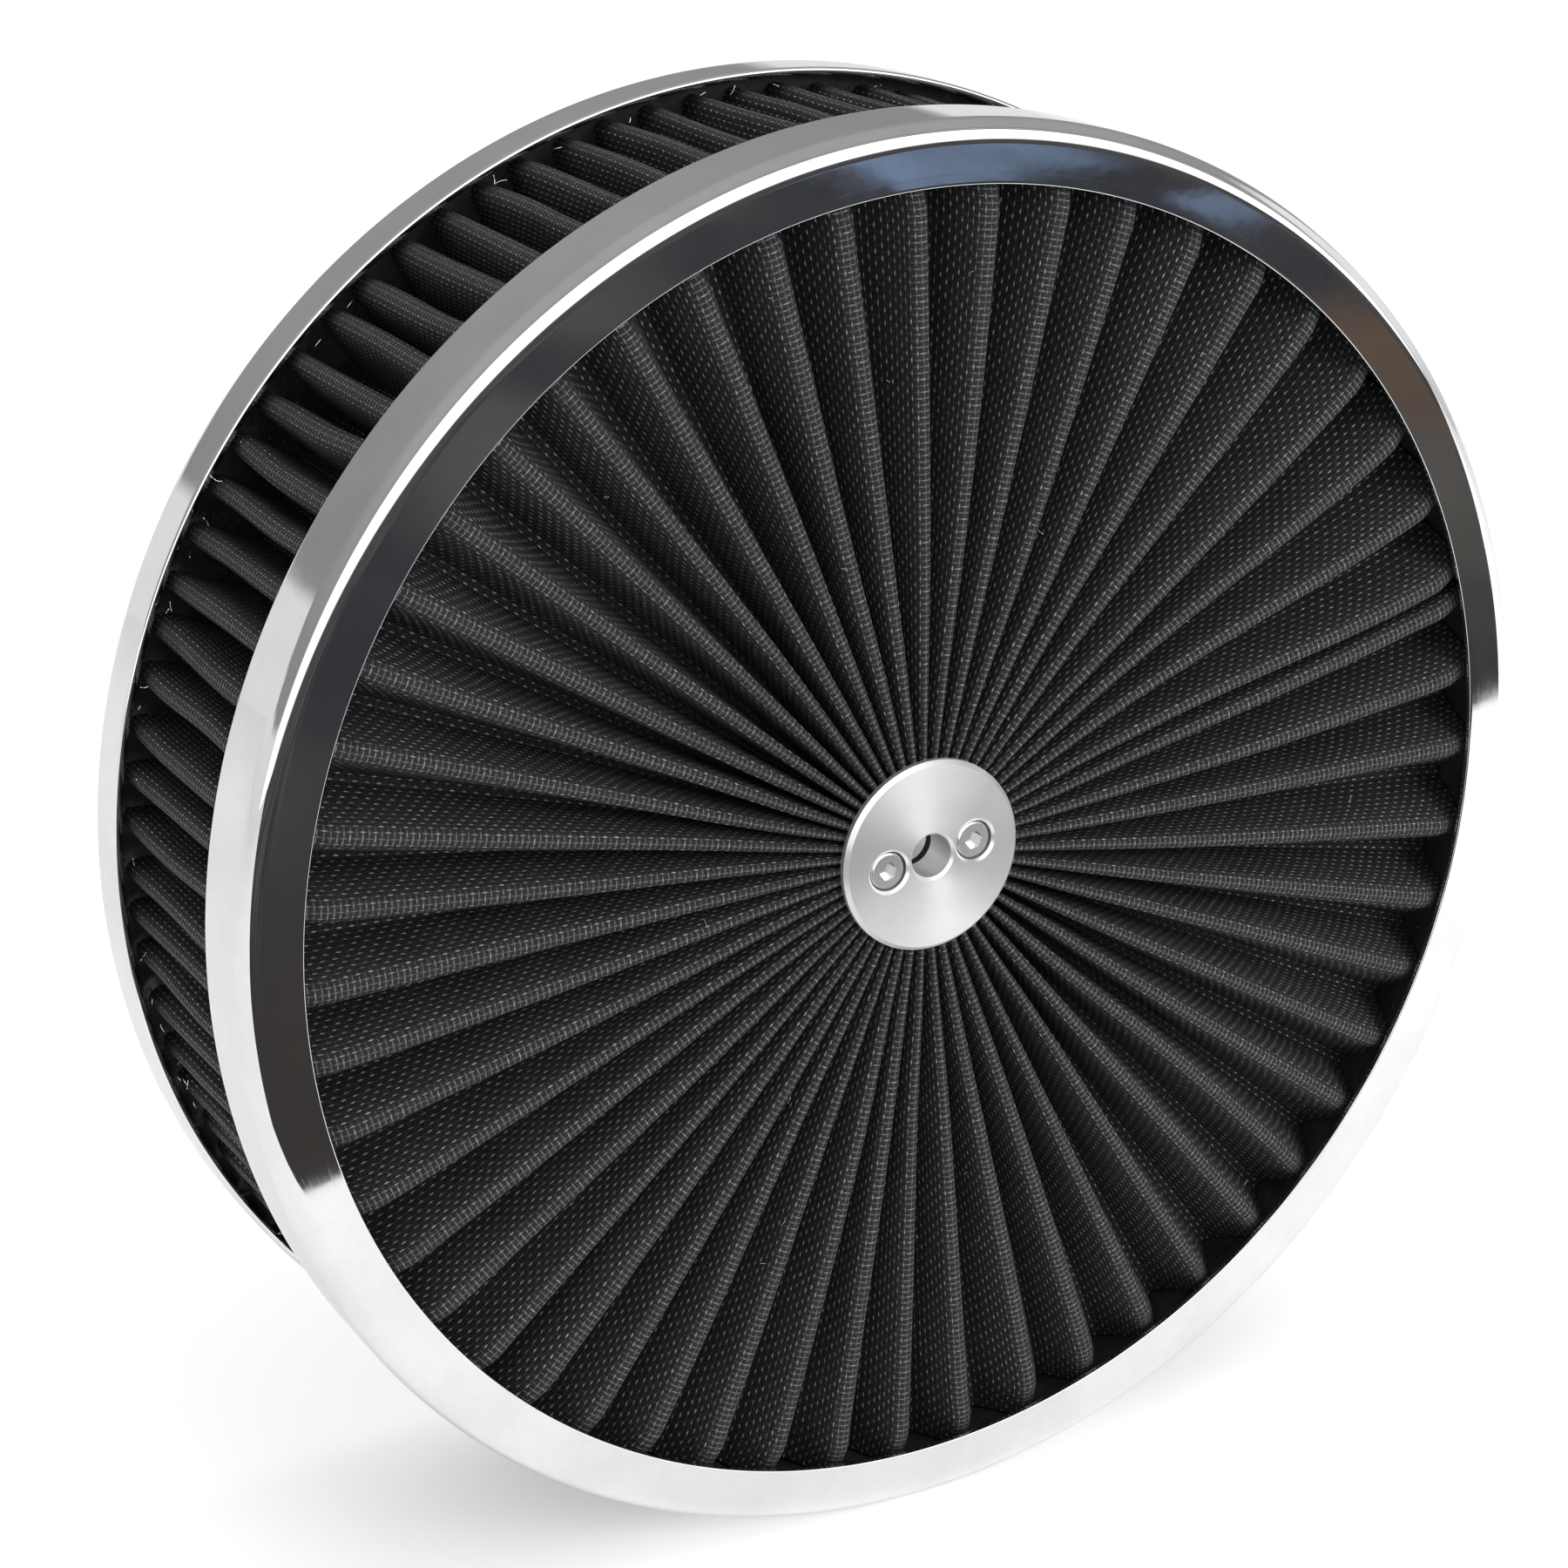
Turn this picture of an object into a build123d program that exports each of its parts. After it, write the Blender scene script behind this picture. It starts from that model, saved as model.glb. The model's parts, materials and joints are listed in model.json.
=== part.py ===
from build123d import *
import math
import os

# Round pleated air filter with a pleated lid.  Millimetres.
# It is drawn with its axis up, rear sealing plane at height 0, then stood up:
# the front faces -Y, +Z is up, and the origin is the centre of the rear opening.

# ---- overall ----
OUTER_RADIUS = 105.0
FRONT_HEIGHT = 60.0          # front face of the front ring
SEAL_STAND = 1.0             # how far the rear seal stands out of the rear ring

# ---- pressed chrome rings ----
RING_WALL = 1.2
RING_CORNER = 3.0            # rounded corner between face and skirt
RING_EDGE = 0.5              # rounding of the rolled edges
LIP_OPENING_RADIUS = 96.3    # hole in the flat face of each ring
FRONT_SKIRT = 13.6
REAR_SKIRT = 10.0
GLUE_GAP = 0.05              # cylinders that lie in each other stay this far apart

# ---- urethane end rings and the rear seal ----
REAR_OPENING_RADIUS = 87.5
REAR_POTTING_TOP = 6.0       # height at which the side pleats sink into the urethane
SEAL_THICKNESS = 1.6
SEAL_OUTER_RADIUS = 95.6
LID_REST_HEIGHT = 48.1       # the lid pleats stand on the front urethane here
SIDE_TOP_HEIGHT = 46.8       # front ends of the side pleats
POTTING_CORNER = 2.2
POTTING_WALL_RADIUS = 99.7   # inside of the wall round the rim of the lid

# ---- pleated pack: screen, two gauze plies, screen ----
PLY = 0.3
PLY_GAP = 0.05
PLY_NAMES = ("outer_screen", "outer_gauze", "inner_gauze", "inner_screen")
PACK = len(PLY_NAMES) * PLY + (len(PLY_NAMES) - 1) * PLY_GAP

# ---- side pleats ----
SIDE_PLEATS = 90
SIDE_CREST_RADIUS = 102.6    # from the axis to the top of a crest
SIDE_VALLEY_RADIUS = 90.4    # from the axis to the bottom of a valley
SIDE_CREST_ROUND = 1.75
SIDE_VALLEY_ROUND = 0.6

# ---- lid pleats ----
LID_PLEATS = 52
LID_CREST_FACTOR = 0.8       # share of a crest's half width that the pack may fill
LID_VALLEY_SHARE = 0.15      # flat of the valley, as a share of half the pitch
# distance from the axis, height of the crest, flat of the crest as a share of half the pitch
LID_STATIONS = (
    (13.2, 57.45, 0.62),     # at the hub
    (88.0, 59.2, 0.38),      # where the crests start to bend down
    (99.2, 57.4, 0.38),      # at the rim, under the ring
)

# ---- hub ----
HUB_RADIUS = 14.4
HUB_DISC = 1.4
HUB_BOSS_RADIUS = 10.4
HUB_FACE_HEIGHT = 59.0
HUB_FRONT_END = 53.0         # inner end of the front cap's boss
HUB_WASHER = 1.3
HUB_REAR_DISC_TOP = 45.6
HUB_BORE_RADIUS = 3.3
HUB_CHAMFER = 0.6            # outer edges of the caps
HOLE_CHAMFER = 0.4
HUB_CORE_RADIUS = 13.1
HUB_CORE_FOOT_RADIUS = 14.3
HUB_REAR_END = HUB_REAR_DISC_TOP - HUB_DISC

# ---- hub screws, M3 socket head ----
SCREW_COUNT = 2
SCREW_CIRCLE_RADIUS = 7.2
SCREW_LINE_ANGLE = 8.6       # the line through both screws, up to the right
SCREW_SHANK_RADIUS = 1.45
SCREW_HEAD_RADIUS = 2.75
SCREW_HEAD = 3.0
SCREW_LENGTH = 8.0
SCREW_SOCKET = 2.5           # across flats
SCREW_SOCKET_DEPTH = 1.3
SCREW_HOLE_RADIUS = 1.7
SCREW_THREAD_RADIUS = 1.5
COUNTERBORE_RADIUS = 3.0
COUNTERBORE_DEPTH = 3.4
SCREW_EDGE = 0.3

# ---- seam strips ----
SEAM_THICKNESS = 0.7
SIDE_SEAM_INNER = 90.6
SIDE_SEAM_OUTER = 95.4
LID_SEAM_PLEAT = 2           # counted from the right-hand side, anticlockwise
LID_SEAM_INNER = 45.0
LID_SEAM_OUTER = 98.8
LID_SEAM_HEIGHT = 1.8

UPWARD = (Align.CENTER, Align.CENTER, Align.MIN)


def turned(points, rounds=()):
    """A ring turned about the axis from its outline, with (corner, radius) roundings."""
    outline = make_face(Polyline(*points, close=True))
    for corner, radius in rounds:
        nearest = outline.vertices().sort_by_distance((*corner, 0))[0]
        outline = fillet(nearest, radius)
    return revolve(Plane.XZ * outline, Axis.Z)


def pressed_ring(face_height, skirt_end):
    """A ring with a flat face, a rounded corner and a skirt that ends at skirt_end."""
    inward = math.copysign(RING_WALL, skirt_end - face_height)
    inside = OUTER_RADIUS - RING_WALL
    corners = [
        (LIP_OPENING_RADIUS, face_height),
        (OUTER_RADIUS, face_height),
        (OUTER_RADIUS, skirt_end),
        (inside, skirt_end),
        (inside, face_height + inward),
        (LIP_OPENING_RADIUS, face_height + inward),
    ]
    radii = [RING_EDGE, RING_CORNER, RING_EDGE, RING_EDGE, RING_CORNER - RING_WALL, RING_EDGE]
    return turned(corners, list(zip(corners, radii)))


def front_potting():
    """Urethane in the front ring: a wall round the lid and a floor under its rim."""
    outside = OUTER_RADIUS - RING_WALL - GLUE_GAP
    top = FRONT_HEIGHT - RING_WALL
    corner = (outside, top)
    return turned(
        [
            (POTTING_WALL_RADIUS, top),
            corner,
            (outside, SIDE_TOP_HEIGHT),
            (REAR_OPENING_RADIUS, SIDE_TOP_HEIGHT),
            (REAR_OPENING_RADIUS, LID_REST_HEIGHT),
            (POTTING_WALL_RADIUS, LID_REST_HEIGHT),
        ],
        [(corner, POTTING_CORNER)],
    )


def rear_potting():
    """Urethane in the rear ring, stepped so that it fills the ring's opening too."""
    outside = OUTER_RADIUS - RING_WALL - GLUE_GAP
    under = SEAL_STAND + RING_WALL
    step = LIP_OPENING_RADIUS - GLUE_GAP
    corner = (outside, under)
    return turned(
        [
            (REAR_OPENING_RADIUS, REAR_POTTING_TOP),
            (outside, REAR_POTTING_TOP),
            corner,
            (step, under),
            (step, SEAL_THICKNESS),
            (REAR_OPENING_RADIUS, SEAL_THICKNESS),
        ],
        [(corner, POTTING_CORNER)],
    )


def rear_seal():
    """Soft ring that presses on the backplate."""
    return turned(
        [
            (REAR_OPENING_RADIUS, 0),
            (SEAL_OUTER_RADIUS, 0),
            (SEAL_OUTER_RADIUS, SEAL_THICKNESS),
            (REAR_OPENING_RADIUS, SEAL_THICKNESS),
        ]
    )


def polar(radius, angle):
    return Vector(radius * math.cos(angle), radius * math.sin(angle))


def side_outline(depth):
    """Closed line of the side pleats, depth below the outer surface of the pack."""
    half_pitch = math.pi / SIDE_PLEATS
    crest_round = SIDE_CREST_ROUND - depth
    valley_round = SIDE_VALLEY_ROUND + depth
    crest_centre_radius = SIDE_CREST_RADIUS - SIDE_CREST_ROUND
    valley_centre_radius = SIDE_VALLEY_RADIUS + SIDE_VALLEY_ROUND

    crest = Vector(crest_centre_radius, 0)
    valley = polar(valley_centre_radius, half_pitch)
    along = valley - crest
    tilt = math.asin((crest_round + valley_round) / along.length)
    normal = polar(1, math.atan2(along.Y, along.X) - math.pi / 2 + tilt)
    crest_side = crest + normal * crest_round
    valley_side = valley - normal * valley_round

    edges = []
    for pleat in range(SIDE_PLEATS):
        turn = 2 * half_pitch * pleat
        next_turn = 2 * half_pitch * ((pleat + 1) % SIDE_PLEATS)
        left = spun(mirrored(crest_side), turn)
        right = spun(crest_side, turn)
        low = spun(valley_side, turn)
        far_low = spun(mirrored(valley_side), next_turn)
        next_left = spun(mirrored(crest_side), next_turn)
        crest_top = polar(crest_centre_radius + crest_round, turn)
        valley_bottom = polar(valley_centre_radius - valley_round, turn + half_pitch)
        edges += [
            ThreePointArc(left, crest_top, right),
            Line(right, low),
            ThreePointArc(low, valley_bottom, far_low),
            Line(far_low, next_left),
        ]
    return Wire(edges)


def mirrored(point):
    return Vector(point.X, -point.Y)


def spun(point, angle):
    cosine, sine = math.cos(angle), math.sin(angle)
    return Vector(point.X * cosine - point.Y * sine, point.X * sine + point.Y * cosine, point.Z)


def side_ply(start):
    """One ply of the side pleats, from the rear urethane to the front urethane."""
    section = Face(side_outline(start), [side_outline(start + PLY)])
    height = SIDE_TOP_HEIGHT - REAR_POTTING_TOP
    return extrude(Pos(0, 0, REAR_POTTING_TOP) * section, height, dir=(0, 0, 1))


def lid_outline(station, depth):
    """Corners of the lid pleats at one station, depth below the outer surface."""
    reach, crest_height, crest_share = station
    half_pitch = reach * math.tan(math.pi / LID_PLEATS)
    crest_half = crest_share * half_pitch
    squeeze = min(1, LID_CREST_FACTOR * crest_half / PACK)
    crest_corner = crest_half - depth * squeeze
    valley_corner = (1 - LID_VALLEY_SHARE) * half_pitch - depth * squeeze
    crest_z = crest_height - depth
    valley_z = LID_REST_HEIGHT + PACK - depth
    corners = []
    for pleat in range(LID_PLEATS):
        turn = 2 * math.pi * pleat / LID_PLEATS
        corners += [
            spun(Vector(reach, -valley_corner, valley_z), turn),
            spun(Vector(reach, -crest_corner, crest_z), turn),
            spun(Vector(reach, crest_corner, crest_z), turn),
            spun(Vector(reach, valley_corner, valley_z), turn),
        ]
    return corners


def strip_faces(first, second, is_flat):
    """Faces between two closed rows of corners; is_flat tells which ones are plane."""
    faces = []
    for here in range(len(first)):
        after = (here + 1) % len(first)
        a, b, c, d = first[here], first[after], second[after], second[here]
        if is_flat(here):
            faces.append(Face(Wire.make_polygon([a, b, c, d])))
        else:
            faces.append(Face.make_surface_from_curves(Edge.make_line(a, b), Edge.make_line(d, c)))
    return faces


def is_crest_or_valley(index):
    return index % 2 == 1


def always(_index):
    return True


def lid_ply(start):
    """One ply of the lid pleats, a corrugated disc with a hole for the hub."""
    upper = [lid_outline(station, start) for station in LID_STATIONS]
    lower = [lid_outline(station, start + PLY) for station in LID_STATIONS]
    faces = strip_faces(upper[0], lower[0], always)
    faces += strip_faces(upper[-1], lower[-1], always)
    for rows in (upper, lower):
        for inner, outer in zip(rows, rows[1:]):
            faces += strip_faces(inner, outer, is_crest_or_valley)
    return Solid(Shell(faces))


def hub_bore(start, length):
    return Pos(0, 0, start) * Cylinder(HUB_BORE_RADIUS, length, align=UPWARD)


def screw_places():
    for number in range(SCREW_COUNT):
        angle = SCREW_LINE_ANGLE + number * 360 / SCREW_COUNT
        yield Rot(0, 0, angle) * Pos(SCREW_CIRCLE_RADIUS, 0, 0)


def circles_at(part, height):
    """Round edges that lie in the plane at this height."""
    flat = part.edges().filter_by(GeomType.CIRCLE)
    return flat.filter_by_position(Axis.Z, height, height)


def chamfered_cap(cap, height):
    """Breaks the outer edge and the edges of the holes in the face at this height."""
    rounds = circles_at(cap, height).sort_by(SortBy.RADIUS)
    cap = chamfer(rounds[-1], HUB_CHAMFER)
    holes = circles_at(cap, height).filter_by(lambda edge: edge.radius < HUB_BOSS_RADIUS)
    return chamfer(holes, HOLE_CHAMFER)


def hub_front_cap():
    """Front clamping disc with its boss, the bolt hole and two counterbored holes."""
    disc_under = HUB_FACE_HEIGHT - HUB_DISC
    cap = Pos(0, 0, disc_under) * Cylinder(HUB_RADIUS, HUB_DISC, align=UPWARD)
    boss_length = disc_under - HUB_FRONT_END
    cap += Pos(0, 0, HUB_FRONT_END) * Cylinder(HUB_BOSS_RADIUS, boss_length, align=UPWARD)
    whole = HUB_FACE_HEIGHT - HUB_FRONT_END
    cap -= hub_bore(HUB_FRONT_END, whole)
    for place in screw_places():
        cap -= place * Pos(0, 0, HUB_FRONT_END) * Cylinder(SCREW_HOLE_RADIUS, whole, align=UPWARD)
        seat = Pos(0, 0, HUB_FACE_HEIGHT - COUNTERBORE_DEPTH)
        cap -= place * seat * Cylinder(COUNTERBORE_RADIUS, COUNTERBORE_DEPTH, align=UPWARD)
    return chamfered_cap(cap, HUB_FACE_HEIGHT)


def hub_rear_cap():
    """Rear clamping disc with its boss, the bolt hole and two tapped holes."""
    cap = Pos(0, 0, HUB_REAR_END) * Cylinder(HUB_RADIUS, HUB_DISC, align=UPWARD)
    boss_top = HUB_FRONT_END - HUB_WASHER
    boss_length = boss_top - HUB_REAR_DISC_TOP
    cap += Pos(0, 0, HUB_REAR_DISC_TOP) * Cylinder(HUB_BOSS_RADIUS, boss_length, align=UPWARD)
    whole = boss_top - HUB_REAR_END
    cap -= hub_bore(HUB_REAR_END, whole)
    for place in screw_places():
        cap -= place * Pos(0, 0, HUB_REAR_END) * Cylinder(SCREW_THREAD_RADIUS, whole, align=UPWARD)
    return chamfered_cap(cap, HUB_REAR_END)


def hub_spacer_washer():
    """Black washer between the bosses of the two caps."""
    start = HUB_FRONT_END - HUB_WASHER
    washer = Pos(0, 0, start) * Cylinder(HUB_BOSS_RADIUS, HUB_WASHER, align=UPWARD)
    washer -= hub_bore(start, HUB_WASHER)
    for place in screw_places():
        washer -= place * Pos(0, 0, start) * Cylinder(SCREW_HOLE_RADIUS, HUB_WASHER, align=UPWARD)
    return washer


def hub_core():
    """Urethane ring round the bosses, with a foot under the inner ends of the pleats."""
    inside = HUB_BOSS_RADIUS + GLUE_GAP
    top = HUB_FACE_HEIGHT - HUB_DISC
    return turned(
        [
            (inside, HUB_REAR_DISC_TOP),
            (HUB_CORE_FOOT_RADIUS, HUB_REAR_DISC_TOP),
            (HUB_CORE_FOOT_RADIUS, LID_REST_HEIGHT),
            (HUB_CORE_RADIUS, LID_REST_HEIGHT),
            (HUB_CORE_RADIUS, top),
            (inside, top),
        ]
    )


def hub_screw():
    """Socket-head cap screw, head seated at height 0 of its own frame, shank down."""
    head = Cylinder(SCREW_HEAD_RADIUS, SCREW_HEAD, align=UPWARD)
    head = chamfer(circles_at(head, SCREW_HEAD), SCREW_EDGE)
    socket = extrude(RegularPolygon(SCREW_SOCKET / 2, 6, major_radius=False), SCREW_SOCKET_DEPTH)
    head -= Pos(0, 0, SCREW_HEAD - SCREW_SOCKET_DEPTH) * socket
    shank = Pos(0, 0, -SCREW_LENGTH) * Cylinder(SCREW_SHANK_RADIUS, SCREW_LENGTH, align=UPWARD)
    shank = chamfer(circles_at(shank, -SCREW_LENGTH), SCREW_EDGE)
    return head + shank


def hub_screws():
    seat = Pos(0, 0, HUB_FACE_HEIGHT - COUNTERBORE_DEPTH)
    return Compound([place * seat * hub_screw() for place in screw_places()])


def side_seam_strip():
    """Strip crimped on the closing pleat of the side band, on its clean side."""
    length = SIDE_TOP_HEIGHT - REAR_POTTING_TOP
    depth = SIDE_SEAM_OUTER - SIDE_SEAM_INNER
    strip = Box(depth, SEAM_THICKNESS, length, align=(Align.MIN, Align.CENTER, Align.MIN))
    return Pos(SIDE_SEAM_INNER, 0, REAR_POTTING_TOP) * strip


def lid_seam_strip():
    """Strip crimped on the closing pleat of the lid band, on its clean side."""
    length = LID_SEAM_OUTER - LID_SEAM_INNER
    strip = Box(length, SEAM_THICKNESS, LID_SEAM_HEIGHT, align=(Align.MIN, Align.CENTER, Align.MIN))
    turn = Rot(0, 0, LID_SEAM_PLEAT * 360 / LID_PLEATS)
    return turn * Pos(LID_SEAM_INNER, 0, LID_REST_HEIGHT) * strip


def all_parts():
    parts = {
        "front_ring": pressed_ring(FRONT_HEIGHT, FRONT_HEIGHT - FRONT_SKIRT),
        "rear_ring": pressed_ring(SEAL_STAND, SEAL_STAND + REAR_SKIRT),
        "front_potting": front_potting(),
        "rear_potting": rear_potting(),
        "rear_seal": rear_seal(),
        "hub_front_cap": hub_front_cap(),
        "hub_rear_cap": hub_rear_cap(),
        "hub_spacer_washer": hub_spacer_washer(),
        "hub_core": hub_core(),
        "hub_screws": hub_screws(),
        "side_seam_strip": side_seam_strip(),
        "lid_seam_strip": lid_seam_strip(),
    }
    for number, ply in enumerate(PLY_NAMES):
        start = number * (PLY + PLY_GAP)
        parts["side_" + ply] = side_ply(start)
        parts["lid_" + ply] = lid_ply(start)
    return parts


os.makedirs("parts", exist_ok=True)
for name, part in all_parts().items():
    export_step(part.rotate(Axis.X, 90), os.path.join("parts", name + ".step"))
    print(name, round(part.volume, 1))
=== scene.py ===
import json
import math

import bmesh
import bpy
import numpy as np
from mathutils import Matrix, Vector


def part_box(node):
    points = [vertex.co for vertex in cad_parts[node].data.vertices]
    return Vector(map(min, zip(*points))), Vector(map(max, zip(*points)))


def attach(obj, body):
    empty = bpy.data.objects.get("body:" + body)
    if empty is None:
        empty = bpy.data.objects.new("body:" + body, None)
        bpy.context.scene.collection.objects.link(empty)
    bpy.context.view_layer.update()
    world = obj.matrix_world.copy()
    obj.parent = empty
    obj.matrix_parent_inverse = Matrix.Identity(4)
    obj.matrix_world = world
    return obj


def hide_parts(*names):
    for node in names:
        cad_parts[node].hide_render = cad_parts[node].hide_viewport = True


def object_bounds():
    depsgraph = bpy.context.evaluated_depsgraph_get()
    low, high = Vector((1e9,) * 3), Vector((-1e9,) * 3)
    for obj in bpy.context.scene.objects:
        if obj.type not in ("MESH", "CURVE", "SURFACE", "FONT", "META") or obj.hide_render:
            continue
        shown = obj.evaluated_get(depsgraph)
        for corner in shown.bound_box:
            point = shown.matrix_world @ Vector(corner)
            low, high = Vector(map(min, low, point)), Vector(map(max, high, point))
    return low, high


# Round pleated air filter: chrome rings, woven-wire pleats and a turned aluminium hub.
# Shapes are worked out in millimetres: radius from the axis, turn round it and height
# above the rear sealing plane.  The front faces -Y, so height runs along -Y.

MM = 0.001
SEED = 11

# ---- camera ----
CAMERA_AZIMUTH = -29.0
CAMERA_ELEVATION = 20.4
CAMERA_DISTANCE = 0.5158
CAMERA_AIM = (-0.0172, -0.0462, 0.0100)
CAMERA_LENS = 83.0
SENSOR = 36.0

# ---- rings ----
RING_WALL = 1.2
RING_CORNER = 3.0
RING_EDGE = 0.5
RING_HOLD = 0.25             # band beside each rounding that keeps the faces flat
LIP_EDGE = 0.2               # rounding of the lip round the opening
LIP_OPENING_RADIUS = 96.3
REAR_OPENING_RADIUS = 87.5
SEAL_ROUNDING = (0.35, 0.5)  # of the rear seal, at the opening and outside
RING_SEGMENTS = 512
RING_ROUND_STEPS = 12

SHARP_EDGE = math.radians(50)

# ---- weave: one wire every 0.9 mm ----
WIRE_PITCH = 0.9
WIRE_HALF = 0.13             # half the wire's width, in wire pitches

# ---- pleated pack, depths below the outer surface ----
PACK = 1.35
PACK_LAYERS = (
    ("outer_screen", 0.0, 0.3, "coated_wire", ("outer_screen",)),
    ("gauze_pack", 0.34, 1.01, "cotton_gauze", ("outer_gauze", "inner_gauze")),
    ("inner_screen", 1.05, 1.35, "coated_wire", ("inner_screen",)),
)

# ---- lid pleats ----
LID_PLEATS = 52
LID_INNER = 13.2
LID_OUTER = 99.2
LID_CREST_AT_HUB = 57.45
LID_CREST_TOP = 59.2
LID_RIM_BEND = 92.8          # where the crests start to bend under the flange
LID_RIM_DROP = 1.9
LID_RISE_LENGTH = 70         # the crests rise from the hub over this length, steeply at first
LID_RISE_POWER = 1.5
LID_SPACING = 0.04           # share by which the pleats are wider on one side
LID_SPACING_TURN = math.radians(23)
LID_PINCH = (0.8, 0.8, 0.9, -3.5, -3.3, -2.5, -1.7, -1.2, -0.7)  # degrees, where it closes
LID_PINCH_RANGE = (16, 74)   # start, and length over which it comes in
LID_JITTER = 0.55            # mm that a crest strays sideways
LID_JITTER_RANGE = (14, 30)
LID_CREST_UNEVEN = 0.22
LID_CREST_RANGE = (14, 25)
LID_VALLEY_UNEVEN = 0.15
LID_CREST_ROUND = ((13.2, 30, 67, 99.2), (0.5, 0.9, 1.5, 1.9))   # radii, rounding there
LID_VALLEY_ROUND = ((13.2, 67, 99.2), (0.1, 0.7, 1.2))
LID_VALLEY_LEAST = 0.12      # rounding of a valley that has no room
LID_ROUND_UNEVEN = 0.12
LID_SQUEEZE = 0.75           # thins the pack in a crest that is rounded less than it is thick
LID_BULGE = 0.42             # swelling of the walls at the rim
LID_ROWS = (16, 7)           # rows of points before the bend and round it
LID_ROW_GAP = (3.5, 1.7)     # the first end, and the others start, this far before the bend
LID_STEPS = (5, 6, 4)        # points over a crest, down a wall and into a valley

# ---- side pleats ----
SIDE_PLEATS = 90
SIDE_VALLEY_RADIUS = 90.4
SIDE_CREST_ROUND = 1.6
SIDE_VALLEY_ROUND = 0.6
SIDE_LEAN = math.radians(0.42)
SIDE_VALLEY_SHIFT = 0.06     # share of the gap that a valley strays sideways
SIDE_CREST_UNEVEN = 0.25
SIDE_VALLEY_UNEVEN = 0.3
SIDE_ROUND_UNEVEN = 0.14
SIDE_BULGE = 0.3
SIDE_ROWS = 14
SIDE_STEPS = (4, 5, 3)

# ---- urethane in the rear ring ----
POTTING_INNER = 88.2         # radius at which its top begins, after a small dip
POTTING_DIP = 0.4
POTTING_TOP_FROM = 89.0      # the rows of points that can climb start here
POTTING_ROWS = 18
POTTING_EDGE_GAP = 0.05
POTTING_SHELF = 2.2          # height of its shelf on the ring's face
POTTING_CORNER = 3.0
POTTING_CLIMB = 1.9          # how far it climbs a crest that it wets
POTTING_FALL = 0.55          # distance over which that dies away
POTTING_RIM_CLIMB = 1.2      # how far it climbs the wall of the ring
POTTING_RIM_FALL = 0.5
POTTING_WET = 0.55           # share of the climb halfway up
POTTING_WET_BELOW = 0.45     # added at the bottom and taken away at the top
POTTING_WET_TURN = 0.2
POTTING_WET_UNEVEN = 0.12
POTTING_GAPS = ((90.4, 91.2, 100.9, 102.6), (0.0, 0.55, 2.1, 3.6))   # radii, half gap there

# ---- loose ends ----
WIRE_ENDS = 80
WIRE_END_RADIUS = (101.9, 103.1)
WIRE_END_HEIGHT = 10.7
WIRE_END_SCATTER = 0.9       # mean distance above that height
WIRE_END_LENGTH = (0.9, 2.0)
WIRE_END_THICKNESS = 0.16
THREAD_CURL = 0.35
LINT_FIBRES = 34
LINT_RADIUS = (22, 90)
LINT_LENGTH = (0.4, 1.1)
LINT_THICKNESS = 0.06
LINT_DEPTH = 0.35            # below the highest crests, and more towards the hub
LINT_DEPTH_AT_HUB = 1.9
LINT_REACH = 70              # radius at which that ends

# ---- studio ----
STAGE_REACH = 4
CARD_LIFT = 0.0005
FLOOR_GLOW = 0.24
FLOOR_GLOW_SEEN = 0.16       # added for the camera
FLOOR_LEFT_DIMMER = 0.15     # taken away on the left, except for the camera
LIGHT_OF_ROOM = (0.74, 0.74, 0.74)
WHITE = (1.0, 1.0, 1.0)
SOFTBOX_SIDE = (-0.043, -0.994, -0.096)   # direction, seen from the filter
DIM_SIDE = (-0.029, -0.702, -0.711)
OBJECT_MIDDLE = (0, -0.03, 0)
HUB = (0, -0.06, 0)
# What the chrome sees of the floor: white near the filter, a dim room past these corners.
DIM_ROOM = (
    (-0.17, -0.163), (0.335, -0.318), (0.44, -0.43), (0.90, -0.66), (3.98, -1.95),
    (3.98, -3.98), (-3.98, -3.98), (-3.98, -2.98), (-0.28, -0.225),
)

# ---- colours: the two that a finish wanders between ----
COLOURS = {
    # Weave colours: the wall ones are painted shade, the crest ones painted light, the glint pairs
    # painted highlights.
    "shaded_wall_gauze": ((0.011, 0.0115, 0.012), (0.027, 0.028, 0.0295)),
    "lit_crest_gauze": ((0.014, 0.0145, 0.0155), (0.036, 0.037, 0.040)),
    "shaded_wall_wire": ((0.022, 0.0225, 0.023), (0.036, 0.037, 0.039)),
    "wall_painted_glint": ((0.12, 0.126, 0.131), (0.42, 0.433, 0.438)),
    "lit_crest_wire": ((0.042, 0.044, 0.047), (0.11, 0.115, 0.119)),
    "crest_painted_glint": ((0.07, 0.074, 0.078), (0.23, 0.24, 0.245)),
    "oiled_gauze": ((0.008, 0.008, 0.009), (0.045, 0.046, 0.05)),
    "chrome": ((0.78, 0.785, 0.795), (0.88, 0.885, 0.89)),
    "urethane": ((0.010, 0.010, 0.011), (0.030, 0.030, 0.033)),
    "aluminium": ((0.86, 0.86, 0.865), (0.96, 0.96, 0.965)),
    "lint": ((0.25, 0.25, 0.24), (0.7, 0.7, 0.68)),
    "floor": ((0.87, 0.87, 0.87), (0.9, 0.9, 0.9)),
    "dim_wall": ((0.042, 0.043, 0.050), (0.100, 0.094, 0.088)),
    "room_by_height": ((0.29, 0.28, 0.275), (0.40, 0.40, 0.41)),
    "flank": ((0.60, 0.59, 0.595), (0.90, 0.90, 0.90)),
}
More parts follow.
